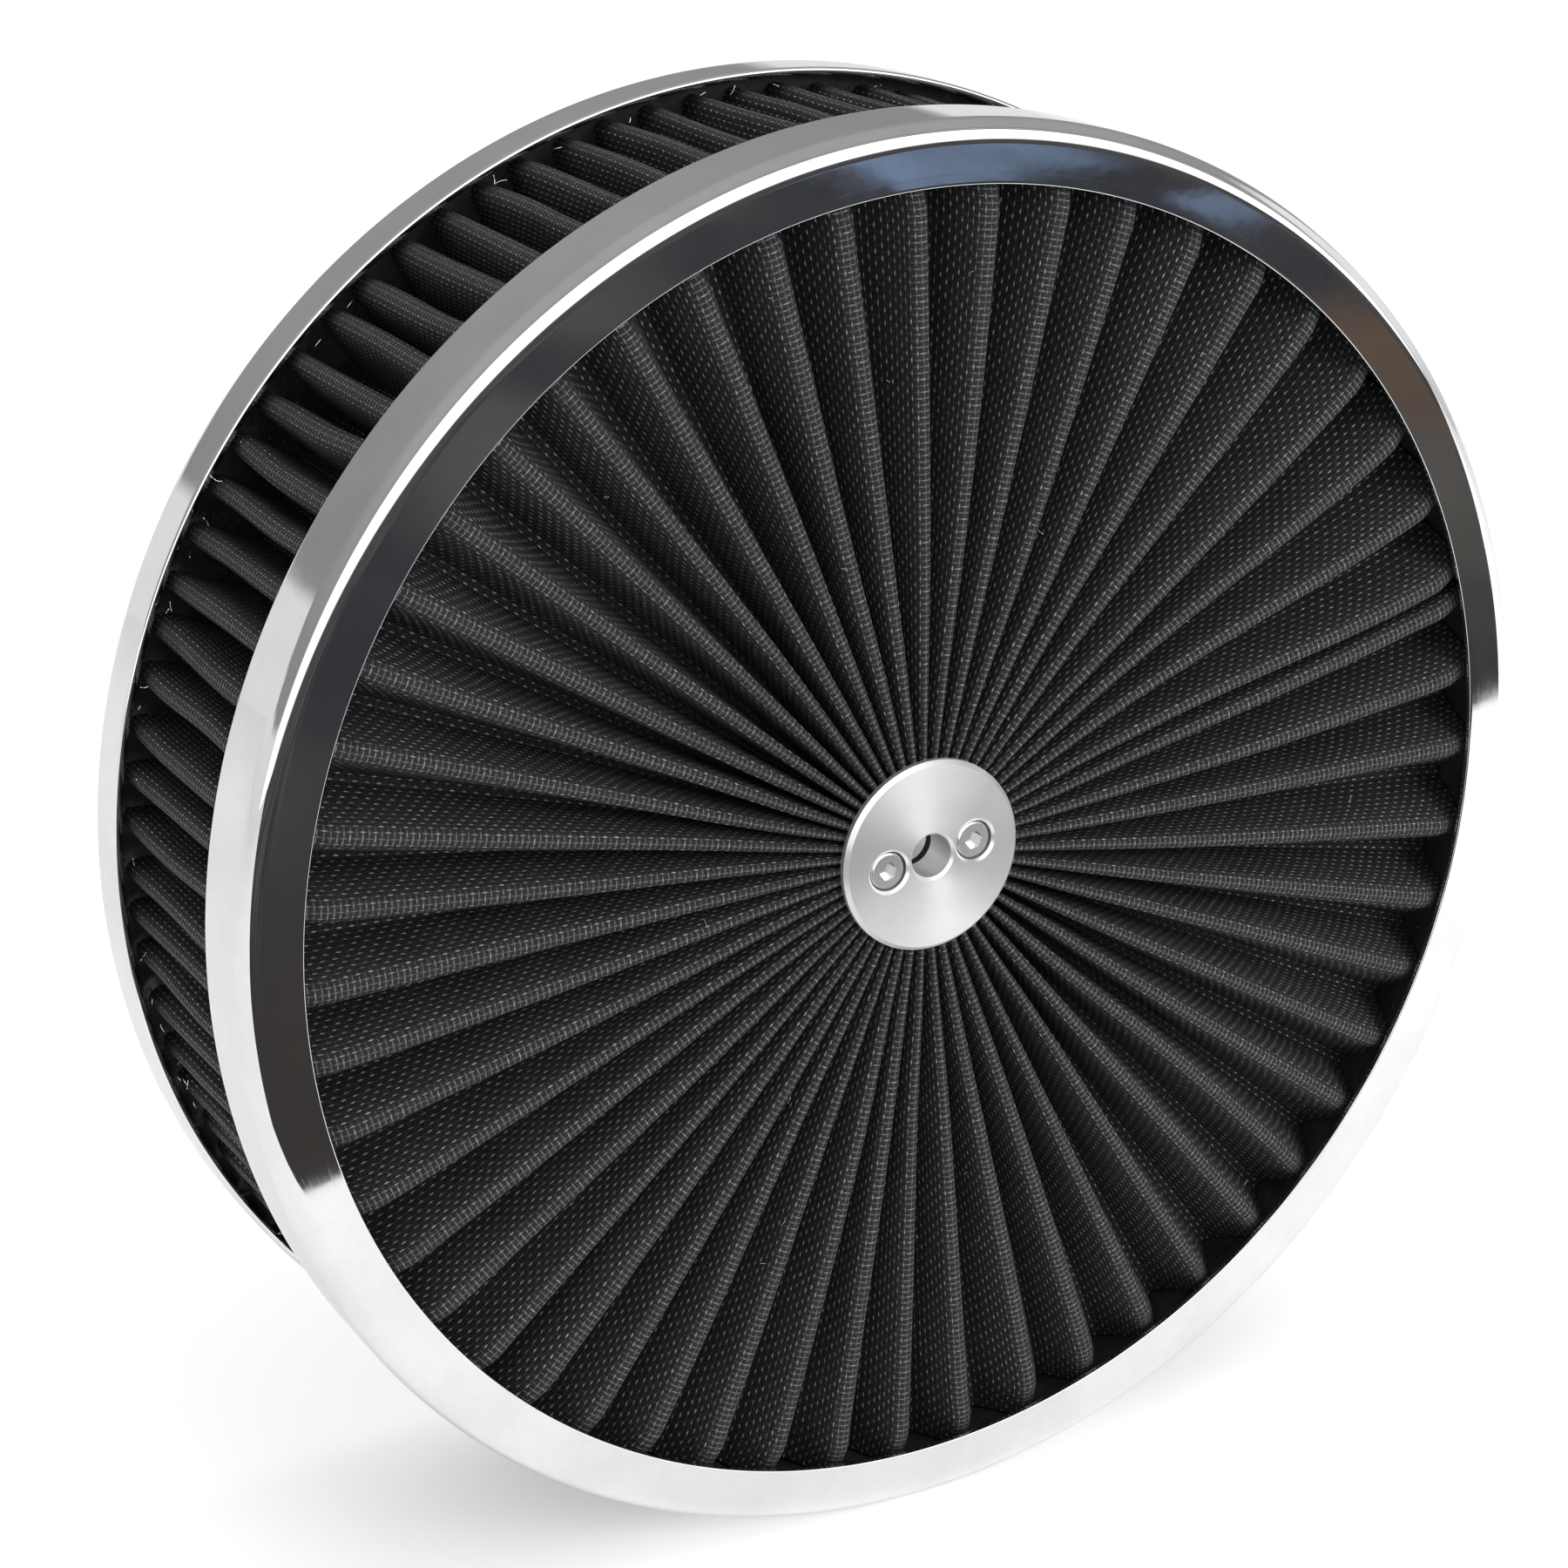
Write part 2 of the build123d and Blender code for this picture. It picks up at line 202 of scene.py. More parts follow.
# Low sides of the wires across the crests: painted shade below their painted highlight.
CREST_WIRE_SHADED_LOW = (0.045, 0.047, 0.05)
RUBBER_DARK = (0.012, 0.012, 0.013)
ROOM_NEAR = (0.048, 0.044, 0.041)
ROOM_BROWN = (0.115, 0.085, 0.066)
WINDOW_BLUE = (0.19, 0.26, 0.39)
SWEEP = (0.80, 0.80, 0.80)
GAP = (0.22, 0.215, 0.215)
SLIT = (0.7, 0.7, 0.7)
SOFTBOX = (1.9, 1.9, 1.9)
DIM_FRONT = (0.075, 0.073, 0.075)


def box_mm(node):
    low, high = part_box(node)
    return low / MM, high / MM


def placed(radius, turn, height):
    """Points of the frame, in metres, from radius, turn and height."""
    parts = (radius * np.cos(turn), -height * np.ones_like(turn), radius * np.sin(turn))
    return np.stack(np.broadcast_arrays(*parts), -1) * MM


def smooth(x):
    x = np.clip(x, 0.0, 1.0)
    return x * x * (3 - 2 * x)


def fade_in(radius, start, length):
    """0 up to the start, 1 past the length after it, as a column."""
    return smooth((radius - start) / length)[:, None]


def wander(rng, rows, count, waves=3):
    """Smooth seeded wobble between about -1 and 1: one column for each of count pleats."""
    along = np.linspace(0, 1, rows)[:, None]
    total = np.zeros((rows, count))
    for wave in range(waves):
        phase = rng.uniform(0, 2 * math.pi, count)
        size = rng.normal(0, 0.6 / (1 + wave), count)
        total += size * np.sin((wave + 0.5) * math.pi * along + phase)
    return np.clip(total, -1.2, 1.2)


# ---------------------------------------------------------------- mesh building


def new_object(name, points, faces, uvs=None):
    """A smooth mesh object; uvs holds the uv of every face corner, by layer name."""
    mesh = bpy.data.meshes.new(name)
    mesh.from_pydata(np.asarray(points).reshape(-1, 3).tolist(), [], np.asarray(faces).tolist())
    for layer_name, values in (uvs or {}).items():
        layer = mesh.uv_layers.new(name=layer_name)
        layer.data.foreach_set("uv", np.asarray(values, np.float32).ravel())
    mesh.update()
    mesh.validate()
    mesh.shade_smooth()
    mesh.set_sharp_from_angle(angle=SHARP_EDGE)
    piece = bpy.data.objects.new(name, mesh)
    bpy.context.scene.collection.objects.link(piece)
    return piece


def finished(piece, nodes, material):
    """Rides the piece on the frame, hides the CAD nodes it stands in for and gives it its
    material.
    """
    piece.data.materials.append(material)
    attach(piece, "root")
    if nodes:
        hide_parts(*nodes)
    return piece


def grid_faces(rows, columns, first, flip):
    """Quads of a grid whose columns close on themselves; first is its first vertex."""
    row, column = np.meshgrid(np.arange(rows - 1), np.arange(columns), indexing="ij")
    after = (column + 1) % columns
    a = first + row * columns + column
    b = first + (row + 1) * columns + column
    c = first + (row + 1) * columns + after
    d = first + row * columns + after
    order = (a, d, c, b) if flip else (a, b, c, d)
    return np.stack(order, -1).reshape(-1, 4)


def corner_uvs(uv, flip):
    """The uv of each face corner of a grid; uv has one column more than the grid."""
    a, b, c, d = uv[:-1, :-1], uv[1:, :-1], uv[1:, 1:], uv[:-1, 1:]
    order = (a, d, c, b) if flip else (a, b, c, d)
    return np.stack(order, 2).reshape(-1, 4, 2)


def sheet_uvs(uv, flip):
    """Face corner uvs of a closed sheet: both sides, then the two edges."""
    parts = [corner_uvs(uv, flip), corner_uvs(uv, not flip)]
    parts += [np.repeat(uv[row, :-1][:, None], 4, 1) for row in (0, -1)]
    return np.concatenate(parts)


def closed_sheet(name, outer, inner, layers, flip):
    """A thin closed sheet between two grids of points; layers holds its uvs by name."""
    rows, columns = outer.shape[:2]
    size = rows * columns
    faces = [grid_faces(rows, columns, 0, flip), grid_faces(rows, columns, size, not flip)]
    column = np.arange(columns)
    after = (column + 1) % columns
    for row, turned in ((0, flip), (rows - 1, not flip)):
        near, far = row * columns, size + row * columns
        order = (near + column, near + after, far + after, far + column)
        if turned:
            order = order[::-1]
        faces.append(np.stack(order, -1))
    points = np.concatenate((outer.reshape(-1, 3), inner.reshape(-1, 3)))
    uvs = {layer: sheet_uvs(uv, flip) for layer, uv in layers.items()}
    return new_object(name, points, np.concatenate(faces), uvs)


def rounded(corners, steps=7):
    """A closed outline of (radius, height) from corners (radius, height, rounding)."""
    outline = []
    count = len(corners)
    for index, (radius, height, rounding) in enumerate(corners):
        here = Vector((radius, height))
        before = Vector(corners[index - 1][:2]) - here
        after = Vector(corners[(index + 1) % count][:2]) - here
        if not rounding:
            outline.append(tuple(here))
            continue
        half = before.angle(after) / 2
        before, after = before.normalized(), after.normalized()
        centre = here + (before + after).normalized() * (rounding / math.sin(half))
        start = here + before * rounding / math.tan(half) - centre
        end = here + after * rounding / math.tan(half) - centre
        sweep = start.angle_signed(end)
        for step in range(steps + 1):
            spoke = start.copy()
            spoke.rotate(Matrix.Rotation(-sweep * step / steps, 2))
            outline.append(tuple(centre + spoke))
    return np.array(outline)


def turned_ring(name, outline, segments, lift=None):
    """A ring turned from a closed outline; lift(outline, turn) says how far it rises where."""
    turn = np.linspace(0, 2 * math.pi, segments, endpoint=False)[None, :]
    radius, height = outline[:, :1], outline[:, 1:2]
    if lift is not None:
        height = height + lift(outline, turn)
    points = placed(radius * np.ones_like(turn), turn, height)
    points = np.concatenate((points, points[:1]))
    faces = grid_faces(len(points), segments, 0, False)
    faces = faces % (len(outline) * segments)
    piece = new_object(name, points[:-1], faces)
    outwards(piece)
    return piece


def outwards(piece):
    """Turns the faces of a closed piece to point out of it."""
    shape = bmesh.new()
    shape.from_mesh(piece.data)
    bmesh.ops.recalc_face_normals(shape, faces=shape.faces)
    shape.to_mesh(piece.data)
    shape.free()


# ---------------------------------------------------------------- pleats


def half_pleat(valley_x, valley_z, crest_round, valley_round, lean, counts):
    """One side of a pleat, from the crest's top at (0, 0) to the middle of the valley.

    Gives x, z, the normal's angle and the length so far, with the points last.
    """
    crest_z = -crest_round
    dx, dz = valley_x, valley_z - crest_z
    reach = np.hypot(dx, dz)
    bend = np.arccos(np.clip((crest_round + valley_round) / reach, -1, 1))
    wall = np.arctan2(dz, dx) + bend
    crest_steps, wall_steps, valley_steps = counts
    top = np.linspace(0, 1, crest_steps + 1)
    quarter = math.pi / 2
    angle_crest = quarter + (wall[..., None] - quarter) * top
    x_crest = crest_round[..., None] * np.cos(angle_crest)
    z_crest = crest_z[..., None] + crest_round[..., None] * np.sin(angle_crest)
    low = np.linspace(0, 1, valley_steps + 1)
    angle_valley = wall[..., None] + (quarter - lean[..., None] - wall[..., None]) * low
    x_valley = valley_x[..., None] - valley_round[..., None] * np.cos(angle_valley)
    z_valley = valley_z[..., None] - valley_round[..., None] * np.sin(angle_valley)
    between = np.linspace(0, 1, wall_steps + 1)[1:-1]
    x_wall = x_crest[..., -1:] + (x_valley[..., :1] - x_crest[..., -1:]) * between
    z_wall = z_crest[..., -1:] + (z_valley[..., :1] - z_crest[..., -1:]) * between
    angle_wall = wall[..., None] * np.ones_like(between)
    x = np.concatenate((x_crest, x_wall, x_valley), -1)
    z = np.concatenate((z_crest, z_wall, z_valley), -1)
    angle = np.concatenate((angle_crest, angle_wall, angle_valley), -1)
    step = np.hypot(np.diff(x, axis=-1), np.diff(z, axis=-1))
    length = np.concatenate((np.zeros_like(x[..., :1]), np.cumsum(step, -1)), -1)
    return x, z, angle, length


def joined(left, right, sign):
    """Left half mirrored, then the right half, as the columns of one pleat after another."""
    mirrored = sign * left[..., ::-1]
    both = np.concatenate((mirrored, right[..., 1:-1]), -1)
    return both.reshape(both.shape[0], -1)


class PleatBand:
    """Crests and valleys of a band of pleats, from which each layer is made."""

    def __init__(self, rng, halves, crest_turn, counts, squeeze, bulge):
        """Halves are the left and right sides of the pleats, as half_pleat takes them."""
        self.squeeze = squeeze[..., None]
        self.crest_turn = crest_turn
        self.points = []
        rows, count = crest_turn.shape
        for half in halves:
            x, z, angle, length = half_pleat(*half, counts)
            share = length / length[..., -1:]
            swell = wander(rng, rows, count)[..., None] * bulge[..., None]
            wave = swell * np.sin(math.pi * share) ** 2
            x = x + wave * np.cos(angle)
            z = z + wave * np.sin(angle)
            self.points.append((x, z, angle, length))

    def layer(self, depth):
        """x, z of each column at a depth below the outer surface."""
        halves = []
        for x, z, angle, _ in self.points:
            in_x, in_z = depth * self.squeeze * np.cos(angle), depth * np.sin(angle)
            halves.append((x - in_x, z - in_z))
        (left_x, left_z), (right_x, right_z) = halves
        return joined(left_x, right_x, -1), joined(left_z, right_z, 1)

    def columns_per_pleat(self):
        return 2 * self.points[0][0].shape[-1] - 2

    def crest_of_column(self):
        return np.repeat(self.crest_turn, self.columns_per_pleat(), 1)

    def weave_u(self):
        """Distance across the cloth in wire pitches, whole at each crest."""
        rows, count = self.crest_turn.shape
        width = 2 * np.mean([p[3][..., -1] for p in self.points]) / WIRE_PITCH
        wires = round(float(width))
        halves = []
        for _, _, _, length in self.points:
            whole = length[..., -1:] / WIRE_PITCH
            share = length / length[..., -1:]
            stretch = (wires / 2 - whole) * smooth((share - 0.35) / 0.65)
            halves.append(length / WIRE_PITCH + stretch)
        u = joined(halves[0], halves[1], -1)
        u = u + np.repeat(np.arange(count) * wires, self.columns_per_pleat())[None, :]
        last = np.full((rows, 1), count * wires - wires / 2)
        return np.concatenate((u, last), 1)

    def uv_layers(self, along, from_inside):
        """Weave: wire pitches across and along. Slope: steepness and way down a pleat, which place
        the weave's painted light and shade.
        """
        u = self.weave_u()
        weave = np.stack((u, np.repeat(along[:, None], u.shape[1], 1) / WIRE_PITCH), -1)
        steep = joined(*[np.abs(np.cos(p[2])) for p in self.points], 1)
        down = joined(*[p[3] / p[3][..., -1:] for p in self.points], 1)
        if from_inside:
            down = 1 - down
        slope = np.stack((steep, down), -1)
        return {"weave": weave, "slope": np.concatenate((slope, slope[:, :1]), 1)}


def half_gaps(crest_turn, valley_turn, valley):
    """Angle from each crest to the valley on its left, and that valley; then on its right."""
    full = 2 * math.pi
    left = (crest_turn - np.roll(valley_turn, 1, 1)) % full, np.roll(valley, 1, 1)
    right = (valley_turn - crest_turn) % full, valley
    return left, right


def lid_crest_turns(rng, radius):
    """Turn of each crest of the lid at each radius, with the pinched closing pleats."""
    even = 2 * math.pi * np.arange(LID_PLEATS) / LID_PLEATS
    turn = even + LID_SPACING * np.sin(even - LID_SPACING_TURN)
    pinch = np.zeros(LID_PLEATS)
    pinch[: len(LID_PINCH)] = LID_PINCH
    turns = turn[None, :] + np.radians(pinch)[None, :] * fade_in(radius, *LID_PINCH_RANGE)
    jitter = wander(rng, len(radius), LID_PLEATS) * LID_JITTER / radius[:, None]
    return turns + jitter * fade_in(radius, *LID_JITTER_RANGE)


def lid_radii():
    """Radii of the rows of points, closer together where the crests bend at the rim."""
    before_bend, at_bend = LID_ROWS
    inner = np.linspace(LID_INNER, LID_RIM_BEND - LID_ROW_GAP[0], before_bend)
    rim = np.linspace(LID_RIM_BEND - LID_ROW_GAP[1], LID_OUTER, at_bend)
    return np.concatenate((inner, rim))


def lid_band(rng):
    radius = lid_radii()
    rows = len(radius)
    rest = -box_mm("lid_inner_screen")[1].y
    crest_turn = lid_crest_turns(rng, radius)
    valley_turn = crest_turn + (np.roll(crest_turn, -1, 1) - crest_turn) % (2 * math.pi) / 2
    rise = 1 - (1 - np.clip((radius - LID_INNER) / LID_RISE_LENGTH, 0, 1)) ** LID_RISE_POWER
    crest = LID_CREST_AT_HUB + (LID_CREST_TOP - LID_CREST_AT_HUB) * rise
    crest = crest - LID_RIM_DROP * smooth((radius - LID_RIM_BEND) / (LID_OUTER - LID_RIM_BEND))
    uneven = LID_CREST_UNEVEN * (wander(rng, rows, LID_PLEATS) - 0.6)
    crest = crest[:, None] + uneven * fade_in(radius, *LID_CREST_RANGE)
    valley = rest + PACK + LID_VALLEY_UNEVEN * (1 + wander(rng, rows, LID_PLEATS))
    crest_round = np.interp(radius, *LID_CREST_ROUND)[:, None]
    crest_round = crest_round * (1 + LID_ROUND_UNEVEN * wander(rng, rows, LID_PLEATS, 2))
    valley_round = np.interp(radius, *LID_VALLEY_ROUND)[:, None]
    halves = []
    for gap, floor in half_gaps(crest_turn, valley_turn, valley):
        half_width = gap * radius[:, None]
        room_left = np.clip(half_width - 1.02 * crest_round, LID_VALLEY_LEAST, None)
        narrow = np.minimum(valley_round, room_left)
        down = floor - crest + narrow
        halves.append((half_width, down, crest_round, narrow, np.zeros_like(gap)))
    squeeze = np.clip(LID_SQUEEZE * crest_round / PACK, 0, 1)
    bulge = LID_BULGE * (radius[:, None] / LID_OUTER) * np.ones_like(crest_turn)
    return PleatBand(rng, halves, crest_turn, LID_STEPS, squeeze, bulge), radius, crest


def lid_layers(rng):
    band, radius, crest = lid_band(rng)
    crest_z = np.repeat(crest, band.columns_per_pleat(), 1)

    def surface(depth):
        x, z = band.layer(depth)
        turn = band.crest_of_column() + x / radius[:, None]
        return placed(radius[:, None] * np.ones_like(turn), turn, crest_z + z)

    for layer, start, end, slot_name, nodes in PACK_LAYERS:
        name = "lid_" + layer + "_pleats"
        uvs = band.uv_layers(radius, from_inside=layer == "inner_screen")
        piece = closed_sheet(name, surface(start), surface(end), uvs, flip=False)
        finished(piece, ["lid_" + n for n in nodes], materials[slot_name])


def side_band(rng):
    low, high = box_mm("side_outer_screen")
    crest_radius = high.x
    heights = np.linspace(-high.y, -low.y, SIDE_ROWS)
    rows = len(heights)
    even = 2 * math.pi * np.arange(SIDE_PLEATS) / SIDE_PLEATS
    lean = wander(rng, rows, SIDE_PLEATS) * SIDE_LEAN
    lean[:, 0] = 0
    crest_turn = even[None, :] + lean
    gap = (np.roll(crest_turn, -1, 1) - crest_turn) % (2 * math.pi)
    valley_turn = crest_turn + gap * (0.5 + SIDE_VALLEY_SHIFT * wander(rng, rows, SIDE_PLEATS))
    crest = crest_radius - SIDE_CREST_UNEVEN * (1 + wander(rng, rows, SIDE_PLEATS))
    valley = SIDE_VALLEY_RADIUS + SIDE_VALLEY_UNEVEN * (1 + wander(rng, rows, SIDE_PLEATS))
    crest_round = SIDE_CREST_ROUND * (1 + SIDE_ROUND_UNEVEN * wander(rng, rows, SIDE_PLEATS, 2))
    valley_round = SIDE_VALLEY_ROUND * np.ones_like(crest)
    halves = []
    for half, floor in half_gaps(crest_turn, valley_turn, valley):
        centre = floor + valley_round
        across, down = centre * np.sin(half), centre * np.cos(half) - crest
        halves.append((across, down, crest_round, valley_round, half))
    squeeze = np.ones_like(crest)
    bulge = SIDE_BULGE * np.ones_like(crest)
    band = PleatBand(rng, halves, crest_turn, SIDE_STEPS, squeeze, bulge)
    return band, heights, crest, valley_turn


def side_layers(rng):
    band, heights, crest, valley_turn = side_band(rng)
    crest_column = np.repeat(crest, band.columns_per_pleat(), 1)

    def surface(depth):
        x, z = band.layer(depth)
        out = crest_column + z
        turn = band.crest_of_column() + np.arctan2(x, out)
        return placed(np.hypot(x, out), turn, heights[:, None] * np.ones_like(turn))

    for layer, start, end, slot_name, nodes in PACK_LAYERS:
        name = "side_" + layer + "_pleats"
        uvs = band.uv_layers(heights, from_inside=layer == "inner_screen")
        piece = closed_sheet(name, surface(start), surface(end), uvs, flip=True)
        finished(piece, ["side_" + n for n in nodes], materials[slot_name])
    return valley_turn[0]


# ---------------------------------------------------------------- rings and urethane


def chrome_ring(name, node, faces_front):
    low, high = box_mm(node)
    radius = high.x
    face, edge = (-low.y, -high.y) if faces_front else (-high.y, -low.y)
    back = -1 if faces_front else 1
    inward = back * RING_WALL
    inside = radius - RING_WALL
    corners = [
        (LIP_OPENING_RADIUS, face, LIP_EDGE),
        (LIP_OPENING_RADIUS + LIP_EDGE + RING_HOLD, face, 0),
        (radius - RING_CORNER - RING_HOLD, face, 0),
        (radius, face, RING_CORNER),
        (radius, face + back * (RING_CORNER + RING_HOLD), 0),
        (radius, edge - back * (RING_EDGE + RING_HOLD), 0),
        (radius, edge, RING_EDGE),
        (inside, edge, RING_EDGE),
        (inside, face + inward, RING_CORNER - RING_WALL),
        (LIP_OPENING_RADIUS, face + inward, RING_EDGE),
    ]
    piece = turned_ring(name, rounded(corners, RING_ROUND_STEPS), RING_SEGMENTS)
    return finished(piece, [node], materials["chrome"])


def rear_potting(valley_turns):
    """Urethane that the side pleats stand in; it climbs where it wets them, most below."""
    low, high = box_mm("rear_potting")
    top, under = -low.y, -high.y
    outside = high.x
    step = LIP_OPENING_RADIUS - POTTING_EDGE_GAP
    across_top = np.linspace(POTTING_TOP_FROM, outside - POTTING_EDGE_GAP, POTTING_ROWS)
    surface = [(radius, top, 0) for radius in across_top]
    corners = [(REAR_OPENING_RADIUS, top - POTTING_DIP, 0), (POTTING_INNER, top, 0), *surface]
    corners += [(outside, POTTING_SHELF, POTTING_CORNER), (step, POTTING_SHELF, 0)]
    corners += [(step, under, 0), (REAR_OPENING_RADIUS, under, 0)]
    outline = rounded(corners)
    order = np.sort(valley_turns % (2 * math.pi))

    def lift(points, turn):
        """How far the top stands up at each point; it flowed down to the lower side."""
        radius, height = points[:, :1], points[:, 1:2]
        nearest = np.abs((turn - order[:, None] + math.pi) % (2 * math.pi) - math.pi).min(0)
        across = radius * nearest[None, :]
        clear = np.clip(np.interp(radius, *POTTING_GAPS) - across, 0, None)
        flow = POTTING_WET - POTTING_WET_BELOW * np.sin(turn - POTTING_WET_TURN)
        flow = flow + POTTING_WET_UNEVEN * np.sin(5 * turn) * np.sin(3 * turn + 1)
        flow = np.clip(flow, 0.05, 1)
        begin = smooth((radius - POTTING_TOP_FROM) / 1.5)
        rise = POTTING_CLIMB * flow * np.exp(-clear / POTTING_FALL) * begin
        rim = POTTING_RIM_CLIMB * flow * np.exp(-(outside - radius) / POTTING_RIM_FALL)
        return np.where(height > top - 0.01, rise * smooth((outside - radius) / 1.0) + rim, 0)

    piece = turned_ring("rear_urethane", outline, SIDE_PLEATS * 12, lift)
    return finished(piece, ["rear_potting"], materials["urethane"])


def soft_seal():
    low, high = box_mm("rear_seal")
    height = -low.y
    inner_round, outer_round = SEAL_ROUNDING
    corners = [
        (REAR_OPENING_RADIUS, 0, inner_round),
        (high.x, 0, outer_round),
        (high.x, height, 0),
        (REAR_OPENING_RADIUS, height, 0),
    ]
    piece = turned_ring("rear_seal_ring", rounded(corners, 5), RING_SEGMENTS)
    return finished(piece, ["rear_seal"], materials["seal_rubber"])


# ---------------------------------------------------------------- wire ends and lint


def fine_threads(name, material, paths, thickness, sides=5):
    """Short bent wires or fibres along given paths, in one mesh."""
    points, faces = [], []
    around = np.linspace(0, 2 * math.pi, sides, endpoint=False)
    for path in paths:
        path = np.asarray(path) * MM
        first = len(points)
        for index, here in enumerate(path):
            ahead = path[min(index + 1, len(path) - 1)] - path[max(index - 1, 0)]
            direction = Vector(ahead).normalized()
            across = direction.orthogonal().normalized()
            other = direction.cross(across)
            for angle in around:
                spoke = across * math.cos(angle) + other * math.sin(angle)
                points.append(np.array(Vector(here) + spoke * thickness * MM / 2))
        for ring in range(len(path) - 1):
            for side in range(sides):
                a = first + ring * sides + side
                b = first + ring * sides + (side + 1) % sides
                faces.append((a, b, b + sides, a + sides))
        faces.append(tuple(first + side for side in reversed(range(sides))))
        last = first + (len(path) - 1) * sides
        faces.append(tuple(last + side for side in range(sides)))
    mesh = bpy.data.meshes.new(name)
    mesh.from_pydata([tuple(p) for p in points], [], faces)
    mesh.update()
    mesh.shade_smooth()
    piece = bpy.data.objects.new(name, mesh)
    bpy.context.scene.collection.objects.link(piece)
    return finished(piece, [], material)


def bent_path(rng, start, heading, length, steps=6):
    """Points, in mm, of a thread that starts along the heading and curls as it goes."""
    point, heading = np.array(start, float), np.array(heading, float)
    path = [point.copy()]
    curl = rng.normal(0, THREAD_CURL, 3)
    for _ in range(steps):
        heading = heading + curl * 0.5
        heading /= np.linalg.norm(heading)
        point = point + heading * length / steps
        path.append(point.copy())
    return path


def wire_ends(rng):
    """Cut ends of wire that stick out of the crests, just above the rear ring's edge."""
    paths = []
    for turn in rng.uniform(0, 2 * math.pi, WIRE_ENDS):
        radius = rng.uniform(*WIRE_END_RADIUS)
        height = WIRE_END_HEIGHT + rng.exponential(WIRE_END_SCATTER)
        out = np.array((math.cos(turn), 0, math.sin(turn)))
        side = np.array((-math.sin(turn), 0, math.cos(turn)))
        start = placed(np.array(radius), np.array(turn), np.array(height)) / MM
        heading = out * 0.5 + side * rng.choice((-1, 1)) + (0, rng.normal(0, 0.5), 0)
        paths.append(bent_path(rng, start, heading, rng.uniform(*WIRE_END_LENGTH)))
    bare = materials["bare_wire"]
    fine_threads("stray_wire_ends", bare, paths, WIRE_END_THICKNESS)


def lint(rng):
    """Short pale fibres caught on the crests of the lid."""
    paths = []
    for _ in range(LINT_FIBRES):
        radius = rng.uniform(*LINT_RADIUS)
        turn = rng.uniform(0, 2 * math.pi)
        height = LID_CREST_TOP - LINT_DEPTH - LINT_DEPTH_AT_HUB * (1 - min(1, radius / LINT_REACH))
        start = placed(np.array(radius), np.array(turn), np.array(height)) / MM
        heading = rng.normal(0, 1, 3) * (1, 0.15, 1)
        paths.append(bent_path(rng, start, heading, rng.uniform(*LINT_LENGTH), 4))
    fine_threads("lint_fibres", materials["lint"], paths, LINT_THICKNESS, 4)


# ---------------------------------------------------------------- materials


class Signal:
    """A number in a node tree that takes arithmetic."""

    def __init__(self, tree, socket):
        self.tree = tree
        self.socket = socket

    def math(self, operation, *others):
        node = self.tree.nodes.new("ShaderNodeMath")
        node.operation = operation
        for index, value in enumerate((self, *others)):
            if isinstance(value, Signal):
                self.tree.links.new(value.socket, node.inputs[index])
            else:
                node.inputs[index].default_value = value
        return Signal(self.tree, node.outputs[0])

    def __add__(self, other):
        return self.math("ADD", other)

    def __sub__(self, other):
        return self.math("SUBTRACT", other)

    def __mul__(self, other):
        return self.math("MULTIPLY", other)

    def __truediv__(self, other):
        return self.math("DIVIDE", other)

    def ramp(self, low, high):
        """0 at low, 1 at high, smooth between."""
        node = self.tree.nodes.new("ShaderNodeMapRange")
        node.interpolation_type = "SMOOTHSTEP"
        self.tree.links.new(self.socket, node.inputs["Value"])
        node.inputs["From Min"].default_value = low
        node.inputs["From Max"].default_value = high
        return Signal(self.tree, node.outputs["Result"])

    def fall(self, low, high):
        """1 at low, 0 at high, smooth between."""
        return (self * -1.0).ramp(-high, -low)

    def inverted(self):
        return self * -1.0 + 1.0


def blend_colours(tree, share, first, second):
    """Colour between first and second, each a colour or a socket."""
    node = tree.nodes.new("ShaderNodeMix")
    node.data_type = "RGBA"
    colour_a, colour_b = node.inputs[6], node.inputs[7]
    for value, socket in ((first, colour_a), (second, colour_b)):
        if isinstance(value, tuple):
            socket.default_value = (*value, 1)
        else:
            tree.links.new(value, socket)
    tree.links.new(share.socket, node.inputs[0])
    return node.outputs[2]


def dot(parts, direction):
    """Dot product of x, y and z signals with a fixed direction."""
    x, y, z = [part * share for part, share in zip(parts, direction)]
    return x + y + z


